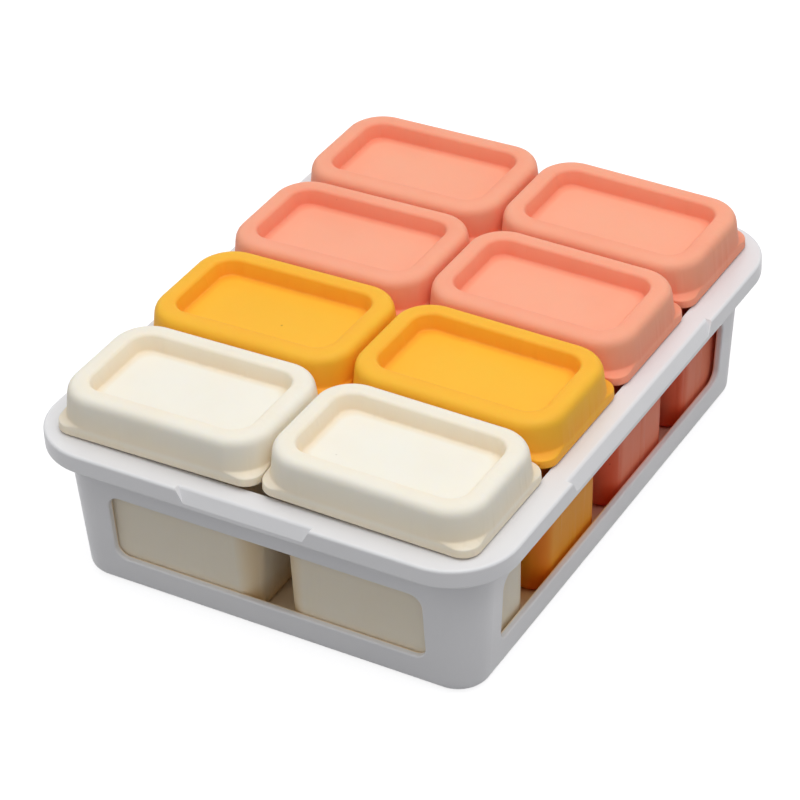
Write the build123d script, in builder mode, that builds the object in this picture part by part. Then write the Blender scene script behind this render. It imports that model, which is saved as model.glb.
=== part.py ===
from build123d import *
import os

# A freezer tray for baby food: a white moulded tray with a window in each side,
# holding eight soft cups in two columns of four, each closed by its own soft lid.
# X runs across the tray, Y along it with the front at -Y, Z up, all in millimetres.
# The origin is at the middle of the tray's underside.

os.makedirs("parts", exist_ok=True)

# Tray
tray_height = 50.0
rim_overhang = 6.5
rim_corner_radius = 20.0
rim_thickness = 2.0
lip_height = 6.2
lip_thickness = 1.8
lip_edge_radius = 0.9
wall_thickness = 2.0
wall_lean = 3.3
floor_thickness = 2.0
foot_edge_radius = 3.0

# Windows, one in each wall, given by the solid wall that is left round them
window_sill = 9.7
window_head = 11.4
front_post = 14.2
side_post = 15.6
window_corner_radius = 4.0
window_edge_radius = 0.6

# Finger bevels, where the lip's upper edge is cut back in the middle of each side
bevel_depth = 1.9
bevel_edge_radius = 1.2
bevel_height = 4.3
bevel_end_slant = 2.4
front_bevel_width = 43.0
side_bevel_length = 90.0

# Grid of cups, with the play between the outer cups and the tray's wall
columns = 2
rows = 4
lid_width = 67.2
lid_length = 44.3
lid_gap = 0.4
side_play = 0.8
end_play = 0.4
corner_play = 1.0

# Lids
lid_height = 12.6
lid_rim_clearance = 3.0
lid_wall = 1.3
lid_lean = 0.9
lid_corner_radius = 11.5
skirt_height = 2.8
skirt_corner_radius = 5.0
skirt_bevel = 1.2
ear_ramp_height = 1.6
crest_thickness = 1.6
crest_radius = 3.6
crest_inner_radius = 1.6
recess_depth = 4.5
recess_lean = 1.6
recess_floor_radius = 1.0
panel_thickness = 1.5
plug_wall = 1.8

# Cups, whose lean is how far each side draws in from the mouth to the base
cup_wall = 1.5
cup_floor = 2.0
cup_lean = 2.2
cup_end_lean = 2.2
cup_base_radius = 6.5
cup_base_edge_radius = 5.0
bead_width = 0.5
bead_height = 3.0
bead_edge_radius = 0.6

# Fits
fit_clearance = 0.3

# Heights
lip_bottom = tray_height - lip_height
window_top = lip_bottom - window_head
lid_bottom = tray_height + lid_rim_clearance
lid_top = lid_bottom + lid_height
ramp_bottom = lid_bottom + skirt_height
ramp_top = ramp_bottom + ear_ramp_height
channel_top = lid_top - crest_thickness
cup_top = channel_top - fit_clearance
cavity_bottom = floor_thickness + cup_floor
panel_top = lid_top - recess_depth
panel_bottom = panel_top - panel_thickness


def lid_outline(height, inset):
    """Width, length and corner radius of a lid's body at a height, moved in by an inset."""
    lean = lid_lean * max(0, height - ramp_top) / (lid_top - ramp_top)
    return lid_width - 2 * (lean + inset), lid_length - 2 * (lean + inset), lid_corner_radius - inset


# The bead round a cup's mouth is one clearance inside the lid's wall, all the way round
bead_outline = lid_outline(channel_top, lid_wall + fit_clearance)
mouth_width = bead_outline[0] - 2 * (bead_width + cup_wall)
mouth_length = bead_outline[1] - 2 * (bead_width + cup_wall)
mouth_radius = bead_outline[2] - bead_width - cup_wall


def cup_outline(height, inset):
    """Width, length and corner radius inside a cup at a height, moved in by an inset."""
    share = (cup_top - height) / (cup_top - floor_thickness)
    return (
        mouth_width - 2 * (cup_lean * share + inset),
        mouth_length - 2 * (cup_end_lean * share + inset),
        mouth_radius + (cup_base_radius - cup_wall - mouth_radius) * share - inset,
    )


# The tray follows the outside of the cups' bases
cup_base_width, cup_base_length, _ = cup_outline(floor_thickness, -cup_wall)
column_pitch = lid_width + lid_gap
row_pitch = lid_length + lid_gap
base_width = (columns - 1) * column_pitch + cup_base_width + 2 * (side_play + wall_thickness)
base_length = (rows - 1) * row_pitch + cup_base_length + 2 * (end_play + wall_thickness)
base_radius = cup_base_radius + corner_play + wall_thickness
tray_width = base_width + 2 * (wall_lean + rim_overhang)
tray_length = base_length + 2 * (wall_lean + rim_overhang)


def wall_outline(height, inset):
    """Width, length and corner radius of the tray's wall at a height, moved in by an inset."""
    growth = wall_lean * height / tray_height - inset
    return base_width + 2 * growth, base_length + 2 * growth, base_radius + growth


def level_face(piece, height):
    """The flat level face of a piece that lies nearest a height."""
    return piece.faces().filter_by(Axis.Z).sort_by(lambda face: abs(face.center().Z - height))[0]


def on_window_rim(edge):
    """True for an edge where a window meets the outer face of the wall."""
    box = edge.bounding_box()
    if box.min.Z < window_sill / 2 or box.max.Z > (window_top + lip_bottom) / 2:
        return False
    width, length, _ = wall_outline(edge.center().Z, wall_thickness / 2)
    return abs(edge.center().X) > width / 2 or abs(edge.center().Y) > length / 2


def on_bevel_top(edge):
    """True for the long edge along the top of a finger bevel."""
    place = edge.center()
    across, along = abs(place.X), abs(place.Y)
    at_end = along > tray_length / 2 - 2 * bevel_depth and across < bevel_depth
    at_side = across > tray_width / 2 - 2 * bevel_depth and along < bevel_depth
    return (at_end or at_side) and abs(place.Z - tray_height) < lip_edge_radius / 2


def make_tray():
    with BuildPart() as tray:
        for height in (0, tray_height):
            with BuildSketch(Plane.XY.offset(height)):
                RectangleRounded(*wall_outline(height, 0))
        loft()
        fillet(level_face(tray, 0).edges(), radius=foot_edge_radius)

        with BuildSketch(Plane.XY.offset(lip_bottom)):
            RectangleRounded(tray_width, tray_length, rim_corner_radius)
        extrude(amount=lip_height)
        lip_edges = level_face(tray, lip_bottom).outer_wire().edges()
        fillet(lip_edges + level_face(tray, tray_height).edges(), radius=lip_edge_radius)

        # Inside, with the floor left in
        for height in (floor_thickness, tray_height):
            with BuildSketch(Plane.XY.offset(height)):
                RectangleRounded(*wall_outline(height, wall_thickness))
        loft(mode=Mode.SUBTRACT)

        # Hollow under the rim, between the lip and the wall
        with BuildSketch(Plane.XY.offset(lip_bottom)):
            RectangleRounded(
                tray_width - 2 * lip_thickness,
                tray_length - 2 * lip_thickness,
                rim_corner_radius - lip_thickness,
            )
            RectangleRounded(*wall_outline(tray_height, 0), mode=Mode.SUBTRACT)
        extrude(amount=lip_height - rim_thickness, mode=Mode.SUBTRACT)

        # Windows, each cut through both opposite walls at once
        window_height = window_top - window_sill
        openings = (
            (Plane.XZ, base_width - 2 * front_post),
            (Plane.YZ, base_length - 2 * side_post),
        )
        for plane, span in openings:
            with BuildSketch(plane):
                with Locations((0, window_sill + window_height / 2)):
                    RectangleRounded(span, window_height, window_corner_radius)
            extrude(amount=tray_length, both=True, mode=Mode.SUBTRACT)
        fillet(tray.edges().filter_by(on_window_rim), radius=window_edge_radius)

        # Finger bevels, each a wedge that is deepest at the rim's top and whose ends slant in
        bevels = (
            (0, tray_length / 2, front_bevel_width),
            (90, tray_width / 2, side_bevel_length),
        )
        for turn, edge, span in bevels:
            for side in (turn, turn + 180):
                outward = Plane.XY.rotated((0, 0, side))
                wedge_foot = outward.offset(tray_height - bevel_height)
                wedge_top = outward.offset(tray_height)
                with BuildSketch(wedge_foot):
                    with Locations((0, edge + bevel_depth / 2)):
                        Rectangle(span - 2 * bevel_end_slant, bevel_depth)
                with BuildSketch(wedge_top):
                    with Locations((0, edge)):
                        Rectangle(span, 2 * bevel_depth)
                loft(mode=Mode.SUBTRACT)
        fillet(tray.edges().filter_by(on_bevel_top), radius=bevel_edge_radius)
    tray.part.label = "tray"
    return tray.part


def make_cup(label, x, y):
    with BuildPart() as cavity:
        for height in (cavity_bottom, cup_top):
            with BuildSketch(Plane((x, y, height))):
                RectangleRounded(*cup_outline(height, 0))
        loft()
        fillet(level_face(cavity, cavity_bottom).edges(), radius=cup_base_edge_radius - cup_wall)

    with BuildPart() as cup:
        for height in (floor_thickness, cup_top):
            with BuildSketch(Plane((x, y, height))):
                RectangleRounded(*cup_outline(height, -cup_wall))
        loft()
        fillet(level_face(cup, floor_thickness).edges(), radius=cup_base_edge_radius)

        # Bead round the mouth, which the lid snaps over
        with BuildSketch(Plane((x, y, cup_top - bead_height))):
            RectangleRounded(*bead_outline)
        extrude(amount=bead_height)
        fillet(level_face(cup, cup_top).edges(), radius=bead_edge_radius)

        add(cavity.part, mode=Mode.SUBTRACT)
    cup.part.label = label
    return cup.part


def make_lid(label, x, y):
    plug_width, plug_length, plug_radius = cup_outline(panel_bottom, fit_clearance)
    with BuildPart() as lid:
        # Skirt, whose tighter corners stand out as four small ears
        with BuildSketch(Plane((x, y, lid_bottom))):
            RectangleRounded(lid_width, lid_length, skirt_corner_radius)
        extrude(amount=skirt_height)

        # Ramp from the ears up to the rounder body
        with BuildSketch(Plane((x, y, ramp_bottom))):
            RectangleRounded(lid_width, lid_length, skirt_corner_radius + skirt_bevel)
        with BuildSketch(Plane((x, y, ramp_top))):
            RectangleRounded(*lid_outline(ramp_top, 0))
        loft()

        # Body, narrowing a little towards the crest
        for height in (ramp_top, lid_top):
            with BuildSketch(Plane((x, y, height))):
                RectangleRounded(*lid_outline(height, 0))
        loft()
        fillet(level_face(lid, lid_top).edges(), radius=crest_radius)

        # Hollow that snaps over the cup's bead, one wall inside the body
        with BuildSketch(Plane((x, y, lid_bottom))):
            RectangleRounded(*lid_outline(lid_bottom, lid_wall))
        extrude(amount=ramp_top - lid_bottom, mode=Mode.SUBTRACT)
        for height in (ramp_top, channel_top):
            with BuildSketch(Plane((x, y, height))):
                RectangleRounded(*lid_outline(height, lid_wall))
        loft(mode=Mode.SUBTRACT)
        hollow_edges = level_face(lid, channel_top).edges()
        fillet(hollow_edges, radius=bead_edge_radius + fit_clearance)

        # Plug that sits in the cup's mouth, with the recessed panel inside the crest
        with BuildSketch(Plane((x, y, panel_bottom))):
            RectangleRounded(plug_width, plug_length, plug_radius)
        extrude(amount=channel_top + crest_thickness / 2 - panel_bottom)
        for height, lean in ((lid_top, 0), (panel_top, recess_lean)):
            with BuildSketch(Plane((x, y, height))):
                inset = plug_wall + lean
                RectangleRounded(plug_width - 2 * inset, plug_length - 2 * inset, plug_radius - inset)
        loft(mode=Mode.SUBTRACT)
        fillet(level_face(lid, lid_top).inner_wires()[0].edges(), radius=crest_inner_radius)
        fillet(level_face(lid, panel_top).outer_wire().edges(), radius=recess_floor_radius)
    lid.part.label = label
    return lid.part


export_step(make_tray(), "parts/tray.step")
print("tray", round(tray_width, 1), "x", round(tray_length, 1), "x", tray_height, "mm")

row_names = ("cream", "yellow", "coral_front", "coral_back")
column_names = ("left", "right")
for row in range(rows):
    for column in range(columns):
        x = (column - (columns - 1) / 2) * column_pitch
        y = (row - (rows - 1) / 2) * row_pitch
        place = f"{row_names[row]}_{column_names[column]}"
        cup = make_cup(f"{place}_cup", x, y)
        lid = make_lid(f"{place}_lid", x, y)
        export_step(cup, f"parts/{place}_cup.step")
        export_step(lid, f"parts/{place}_lid.step")
        print(place, "cup", round(cup.volume), "lid", round(lid.volume), "mm3")
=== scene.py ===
# %% [markdown]
# # A freezer tray of lidded cups for baby food
# A white moulded tray holds eight soft silicone cups, each under its own lid. The tray comes from the
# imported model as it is. The cups and lids are soft mouldings, so they are made here as surfaces: one
# short profile is carried round a rounded rectangle, as the cutter that makes such a mould goes round it.
# Lengths are written in millimetres, and become metres where a mesh or a material takes them.

# %% The frame
import math

import bmesh
import bpy
import numpy as np
from mathutils import Matrix, Vector


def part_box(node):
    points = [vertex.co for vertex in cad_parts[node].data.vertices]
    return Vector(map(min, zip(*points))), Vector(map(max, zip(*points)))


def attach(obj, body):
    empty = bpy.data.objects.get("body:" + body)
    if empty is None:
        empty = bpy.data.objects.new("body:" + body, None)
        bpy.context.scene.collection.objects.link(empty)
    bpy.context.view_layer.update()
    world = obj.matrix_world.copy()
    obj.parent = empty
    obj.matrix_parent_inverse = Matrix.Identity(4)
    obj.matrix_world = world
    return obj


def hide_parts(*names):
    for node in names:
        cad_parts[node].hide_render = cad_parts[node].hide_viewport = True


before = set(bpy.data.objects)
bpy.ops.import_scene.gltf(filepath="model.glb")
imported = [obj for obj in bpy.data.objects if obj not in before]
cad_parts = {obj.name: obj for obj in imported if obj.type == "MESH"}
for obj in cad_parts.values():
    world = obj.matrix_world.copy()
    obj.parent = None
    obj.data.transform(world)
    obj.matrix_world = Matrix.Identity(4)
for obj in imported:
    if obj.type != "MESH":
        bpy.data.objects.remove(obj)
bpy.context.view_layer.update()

MM = 0.001
scene = bpy.context.scene

# %% [markdown]
# ## The camera
# The picture was taken from the front right, well above the rim, with a long lens: the far end of the
# tray is hardly smaller than the near one. The numbers come from fitting a camera to the tray's straight
# edges. The small roll is the photographer's, and the shift puts the tray where it sits in the frame.

# %% The camera
PHOTO_SIZE = 800
SENSOR_WIDTH = 36
CAMERA_AZIMUTH = math.radians(30.59)
CAMERA_ELEVATION = math.radians(35.09)
CAMERA_ROLL = math.radians(-2.26)
CAMERA_DISTANCE = 931.85 * MM
CAMERA_TARGET = Vector((0, 0, 25 * MM))
FOCAL_PIXELS = 3127.6
IMAGE_CENTRE = (417.3, 402.9)


def direction(azimuth, elevation):
    """The unit vector from the tray towards an azimuth, counted from the front to the right, and an
    elevation: the sine of the elevation goes up, and its cosine is shared out by the azimuth."""
    level = math.cos(elevation)
    return Vector((math.sin(azimuth) * level, -math.cos(azimuth) * level, math.sin(elevation)))


back = direction(CAMERA_AZIMUTH, CAMERA_ELEVATION)
right = Vector((math.cos(CAMERA_AZIMUTH), math.sin(CAMERA_AZIMUTH), 0))
up = back.cross(right)
rolled_right = right * math.cos(CAMERA_ROLL) + up * math.sin(CAMERA_ROLL)
rolled_up = up * math.cos(CAMERA_ROLL) - right * math.sin(CAMERA_ROLL)

lens = bpy.data.cameras.new("camera")
lens.sensor_width = SENSOR_WIDTH
lens.lens = FOCAL_PIXELS / PHOTO_SIZE * SENSOR_WIDTH
lens.shift_x = (PHOTO_SIZE / 2 - IMAGE_CENTRE[0]) / PHOTO_SIZE
lens.shift_y = (IMAGE_CENTRE[1] - PHOTO_SIZE / 2) / PHOTO_SIZE
camera = bpy.data.objects.new("camera", lens)
turn = Matrix((rolled_right, rolled_up, back)).transposed()
camera.matrix_world = Matrix.Translation(CAMERA_TARGET + back * CAMERA_DISTANCE) @ turn.to_4x4()
scene.collection.objects.link(camera)
scene.camera = camera
print("lens", round(lens.lens, 1), "mm")

# %% [markdown]
# ## Shader maths as plain expressions
# A material is a graph of nodes, and a graph is hard to read as code. The first small class wraps one
# output, so that a sum or a product of two of them adds the Math node by itself. The second adds nodes
# to any graph, the world's too, and the third is a material with the few patterns that are used here.

# %% Shader expressions
class Shade:
    """One value in a graph of nodes, as an expression: a + b, a * b and so on add Math nodes."""

    def __init__(self, graph, socket):
        self.graph = graph
        self.socket = socket

    def math(self, operation, *others):
        return self.graph.node("ShaderNodeMath", {"operation": operation}, [self, *others])

    def __add__(self, other):
        return self.math("ADD", other)

    def __mul__(self, other):
        return self.math("MULTIPLY", other)

    def __sub__(self, other):
        return self.math("SUBTRACT", other)

    def __rsub__(self, other):
        return self.graph.node("ShaderNodeMath", {"operation": "SUBTRACT"}, [other, self])

    __radd__ = __add__
    __rmul__ = __mul__

    def between(self, low, high):
        """0 below low, 1 above high and a smooth step between them."""
        settings = {"interpolation_type": "SMOOTHSTEP"}
        inputs = {"Value": self, "From Min": low, "From Max": high}
        return self.graph.node("ShaderNodeMapRange", settings, inputs)

    def onto(self, low, high):
        """low where this is 0 or less, high where it is 1 or more, and evenly from one to the other."""
        return self.graph.node("ShaderNodeMapRange", {}, {"Value": self, "To Min": low, "To Max": high})


class Graph:
    """A tree of nodes under construction."""

    def __init__(self, tree):
        self.tree = tree

    def node(self, kind, settings, inputs, output=0):
        """Adds a node: its settings first, then the values or links of its sockets, by name or in order."""
        made = self.tree.nodes.new(kind)
        for name, value in settings.items():
            setattr(made, name, value)
        named = inputs.items() if isinstance(inputs, dict) else enumerate(inputs)
        for name, value in named:
            self.feed(made.inputs[name], value)
        return Shade(self, made.outputs[output])

    def feed(self, socket, value):
        if isinstance(value, Shade):
            self.tree.links.new(value.socket, socket)
        else:
            socket.default_value = value

    def seen(self):
        """1 for what the camera or a reflection sees, and 0 for the light that reaches the object."""
        camera_ray, glossy_ray = (
            self.node("ShaderNodeLightPath", {}, {}, f"Is {kind} Ray") for kind in ("Camera", "Glossy")
        )
        return camera_ray.math("MAXIMUM", glossy_ray)


class Paint(Graph):
    """A material under construction, with its Principled shader and its object coordinates."""

    MIXED_COLOURS = (6, 7)
    MIXED_RESULT = 2

    def __init__(self, name):
        self.material = bpy.data.materials.new(name)
        self.material.use_nodes = True
        super().__init__(self.material.node_tree)
        self.shader = self.tree.nodes["Principled BSDF"]
        self.place = self.node("ShaderNodeTexCoord", {}, {}, "Object")

    def set(self, **sockets):
        """Fills the shader's own sockets, with underscores for the spaces in their names."""
        for name, value in sockets.items():
            self.feed(self.shader.inputs[name.replace("_", " ")], value)

    def noise(self, scale, detail=2.0, roughness=0.5, place=None):
        """Soft random clouds, from 0 to 1, with so many features to the metre."""
        inputs = {"Vector": place or self.place, "Scale": scale, "Detail": detail, "Roughness": roughness}
        return self.node("ShaderNodeTexNoise", {}, inputs, "Fac")

    def stretched(self, x, y, z):
        """The object coordinates, scaled along each axis."""
        return self.node("ShaderNodeMapping", {}, {"Vector": self.place, "Scale": (x, y, z)})

    def place_part(self, axis):
        """One of the object coordinates X, Y and Z, in metres."""
        return self.node("ShaderNodeSeparateXYZ", {}, {"Vector": self.place}, axis)

    def mix(self, share, first, second):
        """A blend of two colours. The Mix node has its colour sockets after those of its other kinds."""
        made = self.node("ShaderNodeMix", {"data_type": "RGBA"}, {"Factor": share}, self.MIXED_RESULT)
        for number, colour in zip(self.MIXED_COLOURS, (first, second)):
            self.feed(made.socket.node.inputs[number], colour if isinstance(colour, Shade) else (*colour, 1))
        return made

    def bump(self, height, distance, strength=1.0, normal=None):
        """The surface's direction, as if a height from 0 to 1 raised it by the distance."""
        inputs = {"Height": height, "Distance": distance, "Strength": strength}
        if normal:
            inputs["Normal"] = normal
        return self.node("ShaderNodeBump", {}, inputs, "Normal")


def linear(red, green, blue):
    """The shader's numbers for a colour as a screen shows it, from 0 to 255: a twelfth or so of the dark
    values, and a power of 2.4 of the others."""
    shares = np.array([red, green, blue]) / 255
    low, high = shares / 12.92, ((shares + 0.055) / 1.055) ** 2.4
    return tuple(np.where(shares <= 0.04045, low, high).tolist())


# %% [markdown]
# ## Silicone
# Food-grade silicone is matt and a little waxy. Light goes a few millimetres into it, so in its creases and
# shade it turns a deeper colour instead of grey.
# Subsurface scattering alone would need a long render for that, so this shade is painted: each surface made
# below carries an attribute of painted shade, from 0 on an open face to 1 in a crease, a recess, a low wall
# or a corner, and the colour darkens and deepens with it. The places with painted shade also show the faint
# upright flow lines of the mould. A few dark specks of dust lie anywhere.

# %% The silicone
SPECK_CELLS = 95.0
SPECK_EDGE = (0.02, 0.045)
SPECK_SHARE = 0.4
SPECK_DARKNESS = 0.3
CLOUD_TINT = 0.06
GLOW_DEPTH = 3


def silicone(name, open_colour, painted_shade_colour, glow):
    """Matt soft silicone: its colour on open faces, its darker colour for the painted shade in creases, and
    how far each of red, green and blue goes in."""
    paint = Paint(name)
    # painted shade: 0 on open faces, up to 1 in creases, recesses, low walls and corners
    painted_shade = paint.node("ShaderNodeAttribute", {"attribute_name": "painted_shade"}, {}, "Fac")
    clouds = paint.noise(scale=45, detail=3)
    grain = paint.noise(scale=1500)
    upright = paint.stretched(1, 1, 0.05)
    flow = paint.noise(scale=260, detail=1, roughness=0.4, place=upright).between(0.5, 0.75)
    cell = {"Vector": paint.place, "Scale": SPECK_CELLS}
    cells = paint.node("ShaderNodeTexVoronoi", {}, cell, "Distance")
    few = paint.noise(scale=60, detail=0).between(0.60, 0.62)
    speck = (1 - cells.between(*SPECK_EDGE)) * few
    # painted shade: the colour darkens and deepens towards the shade colour where the attribute says, with a
    # little random cloudiness in tone
    shaded_and_clouded = paint.mix(painted_shade + clouds.between(0.35, 0.75) * CLOUD_TINT, open_colour, painted_shade_colour)
    dusty = paint.mix(speck * SPECK_SHARE, shaded_and_clouded, tuple(v * SPECK_DARKNESS for v in painted_shade_colour))
    soft = paint.bump(clouds, 0.25 * MM, 0.5, paint.bump(flow * painted_shade, 1.2 * MM, 0.5))
    paint.set(
        Base_Color=dusty,
        Roughness=0.52 + clouds * 0.12,
        Normal=paint.bump(grain, 0.02 * MM, 0.5, soft),
        Subsurface_Weight=0.3,
        Subsurface_Radius=glow,
        Subsurface_Scale=GLOW_DEPTH * MM,
        Specular_IOR_Level=0.35,
    )
    return paint.material


# each silicone: its open colour, its painted shade colour, and how far light goes in
SILICONE = {
    "cream": silicone("cream silicone", linear(246, 241, 228), linear(232, 194, 132), (1.0, 0.8, 0.5)),
    "yellow": silicone("yellow silicone", linear(255, 190, 50), linear(240, 116, 4), (1.0, 0.45, 0.1)),
    "coral": silicone("coral silicone", linear(255, 173, 142), linear(230, 80, 34), (1.0, 0.35, 0.2)),
}
print("silicone in", ", ".join(SILICONE))

# %% [markdown]
# ## Moulded plastic
# The tray is white polypropylene with a satin skin: slightly cool, with a very fine grain from the mould
# and faint changes in gloss where it has been handled. Its inside takes a little colour from the cups
# that stand against it, row by row. Light thrown back and forth would do that only faintly, so the tint
# is painted. The walls lean out evenly and their corner radius grows alike, so the distance from a fixed
# rectangle of corner centres, less the lean, tells the inside from the outside.

# %% The tray's plastic
TRAY_BASE_HALF = (65.2, 86.6)
TRAY_BASE_CORNER = 9.5
TRAY_WALL = 2.0
TRAY_LEAN = 3.3 / 50
SKIN_FADE = 0.6 * MM
ABOVE_FLOOR = (1 * MM, 2 * MM)
BELOW_RIM = (40 * MM, 49 * MM)
CREAM_TO_YELLOW = (-50 * MM, -40 * MM)
YELLOW_TO_CORAL = (-5 * MM, 5 * MM)
# painted bounce light: the colours that the rows of cups throw on the tray's inside
CREAM_BOUNCE = linear(240, 218, 184)
YELLOW_BOUNCE = linear(242, 196, 134)
CORAL_BOUNCE = linear(240, 176, 152)


def painted_cup_bounce(paint):
    """Where the inside of the tray is, and the painted bounce light that the rows of cups throw on it. A
    point is inside where its distance from the rectangle of the corners' centres, less what the wall leans
    out at its height, is under the inner corner radius."""
    across_x, along_y, up_z = (paint.place_part(axis) for axis in "XYZ")
    beyond_x, beyond_y = (
        (part.math("ABSOLUTE") - (half - TRAY_BASE_CORNER) * MM).math("MAXIMUM", 0)
        for part, half in zip((across_x, along_y), TRAY_BASE_HALF)
    )
    away = (beyond_x * beyond_x + beyond_y * beyond_y).math("SQRT") - up_z * TRAY_LEAN
    skin = (TRAY_BASE_CORNER - TRAY_WALL) * MM
    inside = (1 - away.between(skin, skin + SKIN_FADE)) * up_z.between(*ABOVE_FLOOR)
    below_rim = 1 - up_z.between(*BELOW_RIM)
    yellow_on = paint.mix(along_y.between(*CREAM_TO_YELLOW), CREAM_BOUNCE, YELLOW_BOUNCE)
    coral_on = paint.mix(along_y.between(*YELLOW_TO_CORAL), yellow_on, CORAL_BOUNCE)
    return inside * below_rim, coral_on


def moulded_plastic():
    """Satin white plastic, a little uneven in colour and gloss, with painted bounce light from the cups on
    its inside.
    """
    paint = Paint("white plastic")
    clouds = paint.noise(scale=30, detail=3)
    grain = paint.noise(scale=2200, detail=1)
    rubbed = paint.noise(scale=14, detail=4, roughness=0.6, place=paint.stretched(1, 1, 4))
    inside, bounce_colours = painted_cup_bounce(paint)
    white = paint.mix(clouds.between(0.3, 0.8) * 0.5, linear(231, 231, 233), linear(225, 225, 228))
    paint.set(
        # the inside gets the painted bounce light of its row of cups
        Base_Color=paint.mix(inside, white, bounce_colours),
        Roughness=0.34 + rubbed.between(0.35, 0.75) * 0.12,
        Normal=paint.bump(grain, 0.012 * MM, 0.5, paint.bump(clouds, 0.15 * MM, 0.4)),
        Subsurface_Weight=0.1,
        Subsurface_Radius=(1.0, 0.95, 0.9),
        Subsurface_Scale=1.5 * MM,
        Specular_IOR_Level=0.45,
    )
    return paint.material


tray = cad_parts["tray"]
tray.data.materials.clear()
tray.data.materials.append(moulded_plastic())
print("tray faces", len(tray.data.polygons))

# %% [markdown]
# ## One profile round a rounded rectangle
# Lid and cup are the same kind of shape: a profile carried round a rectangle with round corners. A point
# of the outline is a core point, which walks round the rectangle of the corners' centres, plus the corner
# radius times the outward direction. The profile may change the radius as it goes, so a sharper corner
# low down leaves an ear standing out at each corner, while the straight sides stay flush. Bevels on a
# box could not do that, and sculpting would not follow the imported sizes.

# %% The outline
CORNER_STEPS = 20
SIDE_STEPS = 16


def outline_walk():
    """Core weights and outward directions of the outline's points, once round, as (n, 2) arrays. In each
    quarter the direction turns from one side to the next while the core point waits at a corner, and
    then the core point walks to the next corner in even steps while the direction stays."""
    turn = np.linspace(0, math.pi / 2, CORNER_STEPS + 1)
    along = np.linspace(1, -1, SIDE_STEPS + 1)[1:-1]
    core, outward = [], []
    for quarter, (sx, sy) in enumerate(((1, 1), (-1, 1), (-1, -1), (1, -1))):
        angle = turn + quarter * math.pi / 2
        core.append(np.tile((sx, sy), (len(angle), 1)))
        outward.append(np.stack((np.cos(angle), np.sin(angle)), 1))
        last = outward[-1][-1]
        step = np.abs(last[::-1]) * (sx, sy)
        side = np.abs(last) * (sx, sy)
        core.append(side + step * along[:, None])
        outward.append(np.tile(last, (len(along), 1)))
    return np.concatenate(core).astype(float), np.concatenate(outward)


CORE, OUTWARD = outline_walk()
print("points round the outline", len(CORE))

# %% [markdown]
# ## The profile's soft corners
# A mould has no sharp corner, and the crest of a lid is rounder than its skirt. So a profile is written
# as a few points with a rounding at each, and the curves between them are worked out.

# %% The profile's corners
DIAGONAL = math.sqrt(2) - 1
LARGEST_CUT = 0.68
ALMOST_STRAIGHT = 1e-3


def round_corners(points, radii, steps=6):
    """A path through points whose corners are rounded: at each one a quadratic curve from one side to
    the next, starting as far from the corner as a circle of that radius would. A change of the outline's
    corner radius counts by how far it moves the corner itself, which is the square root of 2 less 1, and
    a change of depth counts for nothing."""
    points = np.array(points, float)
    weight = np.array((1, 1, DIAGONAL, 0))
    path = [points[:1]]
    for before, corner, after, radius in zip(points, points[1:], points[2:], radii):
        towards, away = before - corner, after - corner
        reach_in, reach_out = np.linalg.norm(towards * weight), np.linalg.norm(away * weight)
        towards, away = towards / reach_in, away / reach_out
        half = math.acos(np.clip((towards * weight) @ (away * weight), -1, 1)) / 2
        wanted = radius / max(math.tan(half), ALMOST_STRAIGHT)
        cut = min(wanted, LARGEST_CUT * reach_in, LARGEST_CUT * reach_out)
        t = np.linspace(0, 1, steps + 1)[:, None]
        start, end = corner + towards * cut, corner + away * cut
        path.append(start * (1 - t) ** 2 + corner * 2 * t * (1 - t) + end * t**2)
    path.append(points[-1:])
    return np.concatenate(path)


# %% [markdown]
# ## From profile to mesh
# Every point of the profile becomes one ring of points, and neighbouring rings are joined by quads. The
# rings in the middle of a panel or a base shrink to a line, so their doubles are merged, which closes the
# surface, and the faces are then turned outwards.

# %% The surface
def carried(name, profile, centre, half_sizes, tilt, corner_shade=0.0):
    """A closed surface. Each row of the profile is (inset, height, corner radius) in millimetres and its
    share of painted shade, and has its row in half_sizes, the outline's half width and half length, and in
    tilt. The whole is then sheared: a point sinks by its tilt times its distance from the side next to the
    other column. Round corners get more painted shade, by up to the corner shade."""
    inset, height, radius, painted_shade = profile.T
    half = half_sizes - inset[:, None]
    radius = np.minimum(radius, half.min(1))
    core = half - radius[:, None]
    ring = CORE[None] * core[:, None] + OUTWARD[None] * radius[:, None, None]
    towards_middle = -np.sign(centre[0])
    sunk = tilt[:, None] * (half.max() - ring[..., 0] * towards_middle)
    points = np.concatenate((ring, (height[:, None] - sunk)[..., None]), 2)
    points = points * MM + np.array((centre[0], centre[1], 0))
    rows, around = points.shape[:2]
    row, column = np.meshgrid(np.arange(rows - 1), np.arange(around), indexing="ij")
    after = (column + 1) % around
    quads = np.stack((row * around + column, row * around + after,
                      (row + 1) * around + after, (row + 1) * around + column), -1).reshape(-1, 4)
    mesh = bpy.data.meshes.new(name)
    mesh.from_pydata(points.reshape(-1, 3), [], quads)
    # painted shade of each point: the profile row's share, plus more at round corners
    at_corner = 2 * np.abs(OUTWARD[:, 0] * OUTWARD[:, 1])
    shade_share = np.clip(painted_shade[:, None] + corner_shade * at_corner, 0, 1)
    mesh.attributes.new("painted_shade", "FLOAT", "POINT").data.foreach_set("value", shade_share.ravel())
    built = bmesh.new()
    built.from_mesh(mesh)
    bmesh.ops.remove_doubles(built, verts=built.verts, dist=0.001 * MM)
    bmesh.ops.recalc_face_normals(built, faces=built.faces)
    built.to_mesh(mesh)
    built.free()
    mesh.shade_smooth()
    piece = bpy.data.objects.new(name, mesh)
    scene.collection.objects.link(piece)
    return piece


def packed_box(node):
    """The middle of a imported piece, its half width and half length, and its lowest and highest point."""
    low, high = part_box(node)
    half = (np.array(high) - np.array(low))[:2] / 2 / MM
    return (low + high) / 2, half, low.z / MM, high.z / MM


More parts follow.
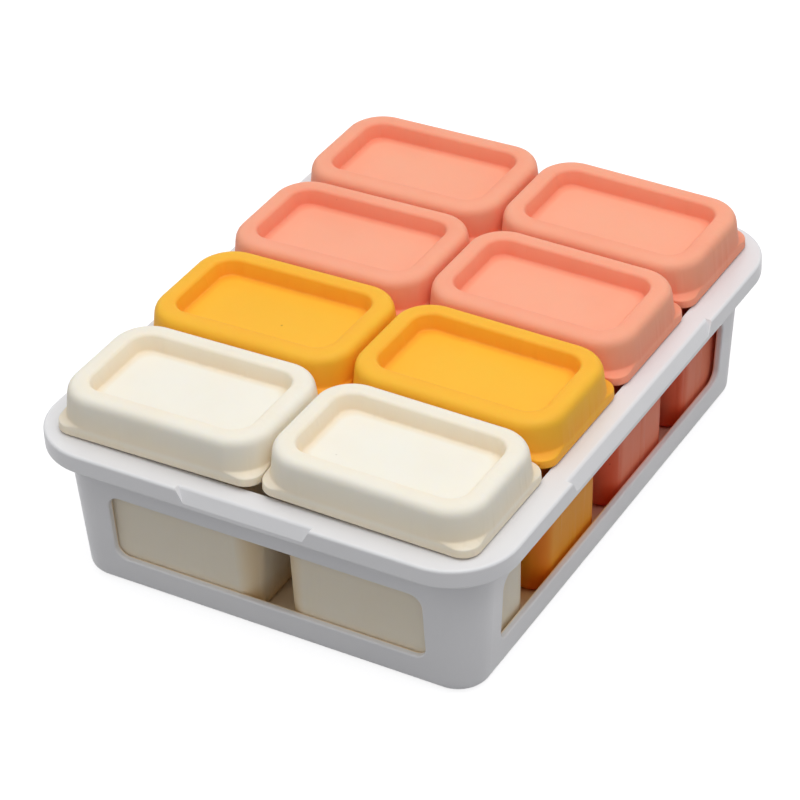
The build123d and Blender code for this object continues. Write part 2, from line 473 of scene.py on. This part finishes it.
def put_in_place(piece, node, colour):
    """Gives a piece its silicone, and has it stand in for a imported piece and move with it."""
    piece.data.materials.append(SILICONE[colour])
    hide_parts(node)
    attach(piece, node)


# %% [markdown]
# ## The lids
# Seen from the middle outwards: the flat panel, the wall of the recess, the soft round crest, the outer
# side, the crease over the corner ears, the skirt, and then back inside: the hollow for the cup's bead
# and the plug that sits in the cup's mouth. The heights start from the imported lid's own box. On the real
# tray the lids have settled a little and lean outwards, so they are set lower by the seat and tilted.

# %% The lids
SEAT = 0.8
TILT = 0.015
LID_HEIGHT = 13.3
LID_WALL = 1.3
LID_LEAN = 0.9
BODY_CORNER = 11.2
BODY_STEP = 0.15
CREST_CORNER = 11.4
CREST_WIDTH = 6.8
CREST_ROLL = 3.3
CREST_THICKNESS = 1.6
RECESS_DEPTH = 5.0
RECESS_LEAN = 1.2
RECESS_CORNER = 6.2
PANEL_CORNER = 4.6
PANEL_THICKNESS = 1.5
CREASE = 2.5
SKIRT_HEIGHT = 2.6
EAR_CORNER = 5.2
EAR_BEVEL = 0.5
EAR_RAMP = 1.1
PLUG_INSET = 4.8
PLUG_CORNER = 7.5


def lid_profile(bottom, top, middle):
    """The lid's profile from the middle of its panel, over the crest, round the skirt and back inside."""
    panel = top - RECESS_DEPTH
    roof = top - CREST_THICKNESS
    ramp = bottom + SKIRT_HEIGHT
    crease = CREST_WIDTH + RECESS_LEAN
    inner = BODY_CORNER - LID_WALL
    # the fourth column is painted shade: darker, deeper colour at the recess foot, down the outer side and
    # inside
    corners = np.array([
        # inset, height, corner radius, painted shade, rounding
        (middle, panel, 0, 0, 0),
        (crease + CREASE, panel, PANEL_CORNER, 0, 0),
        (crease, panel, PANEL_CORNER, 0.4, 0.7),
        (CREST_WIDTH, top, RECESS_CORNER, 0.14, 1.4),
        (LID_LEAN, top, CREST_CORNER, 0, CREST_ROLL),
        (BODY_STEP, ramp + EAR_RAMP, BODY_CORNER, 0.3, 0.8),
        (0, ramp, EAR_CORNER + EAR_BEVEL, 0.15, 0.5),
        (0, bottom, EAR_CORNER, 0.35, 0.4),
        (LID_WALL, bottom, inner, 0.6, 0.3),
        (LID_WALL, ramp + EAR_RAMP, inner, 0.8, 0.5),
        (LID_WALL + LID_LEAN * 0.8, roof, inner, 0.8, 0.9),
        (PLUG_INSET, roof, PLUG_CORNER, 0.8, 0.5),
        (PLUG_INSET, panel - PANEL_THICKNESS, PLUG_CORNER, 0.3, 0.4),
        (middle, panel - PANEL_THICKNESS, 0, 0.15, 0),
    ])
    return round_corners(corners[:, :4], corners[1:-1, 4])


def make_lid(place, colour):
    """The lid of one cup, as wide at every height and tilted all alike."""
    middle, half, _, high = packed_box(f"{place}_lid")
    top = high - SEAT + CREST_WIDTH / 2 * TILT
    profile = lid_profile(top - LID_HEIGHT, top, half.min())
    rows = len(profile)
    lid = carried(f"{place}_lid_soft", profile, middle, np.tile(half, (rows, 1)), np.full(rows, TILT))
    put_in_place(lid, f"{place}_lid", colour)
    return lid


# %% [markdown]
# ## The cups
# Each cup draws in towards its base and has a bead round its mouth. Only a strip of each shows, through
# the windows, until the lids come off. Its walls are thin and let light through. Painted shade darkens and
# deepens the colour of the base, the neck and the corners, so the belly is paler than they are, most of all
# on the cream cups.

# %% The cups
CUP_WALL = 1.5
CUP_FLOOR = 2.0
CUP_LEAN = np.array((2.2, 1.7))
CUP_CORNER = 9.4
CUP_BASE_CORNER = 5.4
CUP_BASE_EDGE = 3.2
# painted shade: extra at the corners, on the belly by colour, and extra at the neck
CUP_CORNER_SHADE = 0.35
CUP_BELLY_SHADE = {"cream": 0.2, "yellow": 0.45, "coral": 0.5}
NECK_SHADE = 0.2
BEAD_WIDTH = 0.5
BEAD_HEIGHT = 3.0
BELLY = (12.0, 42.0)


def cup_profile(bottom, top, middle, shade_share):
    """The cup's profile from the middle of its base, up the outside, over the bead and down the inside.
    Between the two heights of its belly it has less painted shade than at its base and neck."""
    floor = bottom + CUP_FLOOR
    neck = top - BEAD_HEIGHT
    low_corner, high_corner = np.interp(BELLY, (bottom, neck), (CUP_BASE_CORNER, CUP_CORNER))
    corners = np.array([
        # inset, height, corner radius, painted shade, rounding
        (middle, bottom, 0, 0.8, 0),
        (BEAD_WIDTH, bottom, CUP_BASE_CORNER, 0.85, CUP_BASE_EDGE),
        (BEAD_WIDTH, BELLY[0], low_corner, shade_share, 0),
        (BEAD_WIDTH, BELLY[1], high_corner, shade_share, 0),
        (BEAD_WIDTH, neck, CUP_CORNER, shade_share + NECK_SHADE, 0.2),
        (0, neck, CUP_CORNER + BEAD_WIDTH, 0.6, 0.2),
        (0, top, CUP_CORNER + BEAD_WIDTH, 0.2, 0.6),
        (BEAD_WIDTH + CUP_WALL, top, CUP_CORNER - CUP_WALL, 0.1, 0.6),
        (BEAD_WIDTH + CUP_WALL, floor, CUP_BASE_CORNER - CUP_WALL, 0.4, CUP_BASE_EDGE - CUP_WALL),
        (middle, floor, 0, 0.2, 0),
    ])
    return round_corners(corners[:, :4], corners[1:-1, 4], 10)


def make_cup(place, colour):
    """One cup: its half sizes shrink evenly from the neck to the base by the lean, and its tilt grows
    evenly from nothing at the base, which stands flat, to the lid's tilt at the mouth."""
    middle, half, bottom, high = packed_box(f"{place}_cup")
    top = high - SEAT
    profile = cup_profile(bottom, top, (half - CUP_LEAN).min(), CUP_BELLY_SHADE[colour])
    height = profile[:, 1]
    below_neck = np.clip((top - BEAD_HEIGHT - height) / (top - BEAD_HEIGHT - bottom), 0, 1)
    half_sizes = half - CUP_LEAN * below_neck[:, None]
    tilt = TILT * (height - bottom) / (top - bottom)
    cup = carried(f"{place}_cup_soft", profile, middle, half_sizes, tilt, CUP_CORNER_SHADE)
    put_in_place(cup, f"{place}_cup", colour)
    return cup


# %% [markdown]
# ## Eight cups and their lids
# The four rows from the front are cream, yellow, coral and coral, with a left and a right cup in each.
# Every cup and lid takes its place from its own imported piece, so nothing is counted out here.

# %% Eight cups and their lids
for row in ("cream", "yellow", "coral_front", "coral_back"):
    for column in ("left", "right"):
        colour = row.split("_")[0]
        cup = make_cup(f"{row}_{column}", colour)
        lid = make_lid(f"{row}_{column}", colour)
        print(row, column, "cup and lid faces", len(cup.data.polygons), len(lid.data.polygons))

# %% [markdown]
# ## The floor
# The tray stands on a pale floor that the camera sees as white, while the object only gets the light that
# a grey floor would throw back. The floor lies a hair under the tray, so that the two never share a
# surface, and it keeps the tray's shadow.

# %% The floor
FLOOR_SIZE = 6.0
FLOOR_DROP = 0.2
FLOOR_COLOUR = (0.32, 0.32, 0.33, 1)
FLOOR_GLOW = 0.82
WHITE = (1, 1, 1, 1)


def pale_floor():
    """A dull grey that glows for the camera and for reflections only."""
    paint = Paint("pale floor")
    glow = paint.seen() * FLOOR_GLOW
    paint.set(Base_Color=FLOOR_COLOUR, Roughness=0.9, Emission_Color=WHITE, Emission_Strength=glow)
    return paint.material


edge, level = FLOOR_SIZE / 2, -FLOOR_DROP * MM
floor_mesh = bpy.data.meshes.new("floor")
floor_corners = [(-edge, -edge, level), (edge, -edge, level), (edge, edge, level), (-edge, edge, level)]
floor_mesh.from_pydata(floor_corners, [], [(0, 1, 2, 3)])
floor = bpy.data.objects.new("floor", floor_mesh)
floor.data.materials.append(pale_floor())
scene.collection.objects.link(floor)
print("floor", FLOOR_SIZE, "m wide")

# %% [markdown]
# ## The light
# The photograph has soft light from above: the lids' panels are bright, the right side is in half shade
# and the front in a little more. One broad lamp stands nearly overhead, a little to the front right, and
# the room round it is brighter overhead than at the sides. The camera sees the room as plain white.

# %% The light
LAMP_AZIMUTH = math.radians(68)
LAMP_ELEVATION = math.radians(79)
LAMP_DISTANCE = 1.0
LAMP_SIZE = 0.9
LAMP_POWER = 4.8
ROOM_AT_SIDES = 0.27
ROOM_OVERHEAD = 0.78

towards_lamp = direction(LAMP_AZIMUTH, LAMP_ELEVATION)
light = bpy.data.lights.new("broad lamp", "AREA")
light.shape = "SQUARE"
light.size = LAMP_SIZE
light.energy = LAMP_POWER
lamp = bpy.data.objects.new("broad lamp", light)
facing = towards_lamp.to_track_quat("Z", "Y").to_matrix().to_4x4()
lamp.matrix_world = Matrix.Translation(CAMERA_TARGET + towards_lamp * LAMP_DISTANCE) @ facing
scene.collection.objects.link(lamp)

world = bpy.data.worlds.new("studio")
world.use_nodes = True
room = Graph(world.node_tree)
looking = room.node("ShaderNodeTexCoord", {}, {}, "Generated")
upwards = room.node("ShaderNodeSeparateXYZ", {}, {"Vector": looking}, "Z")
brightness = room.seen().onto(upwards.onto(ROOM_AT_SIDES, ROOM_OVERHEAD), 1.0)
background = room.tree.nodes["Background"]
room.feed(background.inputs["Color"], WHITE)
room.feed(background.inputs["Strength"], brightness)
scene.world = world
scene.view_settings.view_transform = "Standard"
print("lamp", LAMP_POWER, "W, room from", ROOM_AT_SIDES, "to", ROOM_OVERHEAD)
